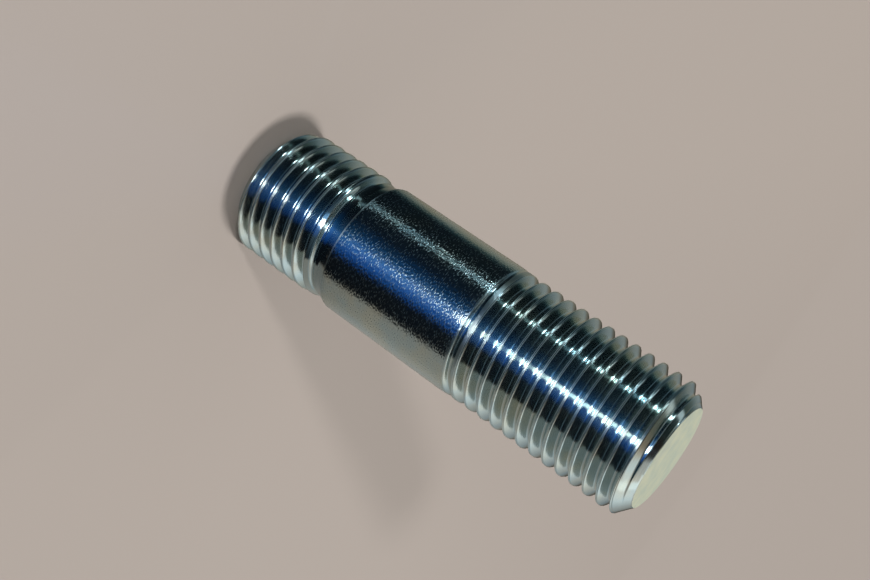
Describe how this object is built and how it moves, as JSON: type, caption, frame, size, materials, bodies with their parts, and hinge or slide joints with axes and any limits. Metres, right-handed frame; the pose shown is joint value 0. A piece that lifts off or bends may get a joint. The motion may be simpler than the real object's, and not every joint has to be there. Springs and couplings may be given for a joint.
{
  "type": "stud bolt",
  "caption": "Double-ended stud bolt, fine right-hand thread at each end, short plain shank and rolling neck, chamfered ends, bright zinc plate",
  "frame": {"origin": "centre of the tap end's flat face, which the stud stands on", "axes": "+Z runs along the stud from the tap end to the nut end; X and Y are square to it, and the tap-end groove starts to run out at 45 degrees from +X towards +Y"},
  "size_m": [0.014, 0.014, 0.0482],
  "materials": {
    "zinc_plated_steel": "bright zinc plate with a blue-white passivate over rolled threads and a ground shank"
  },
  "bodies": {
    "root": {"stud": "zinc_plated_steel"}
  },
  "joints": []
}
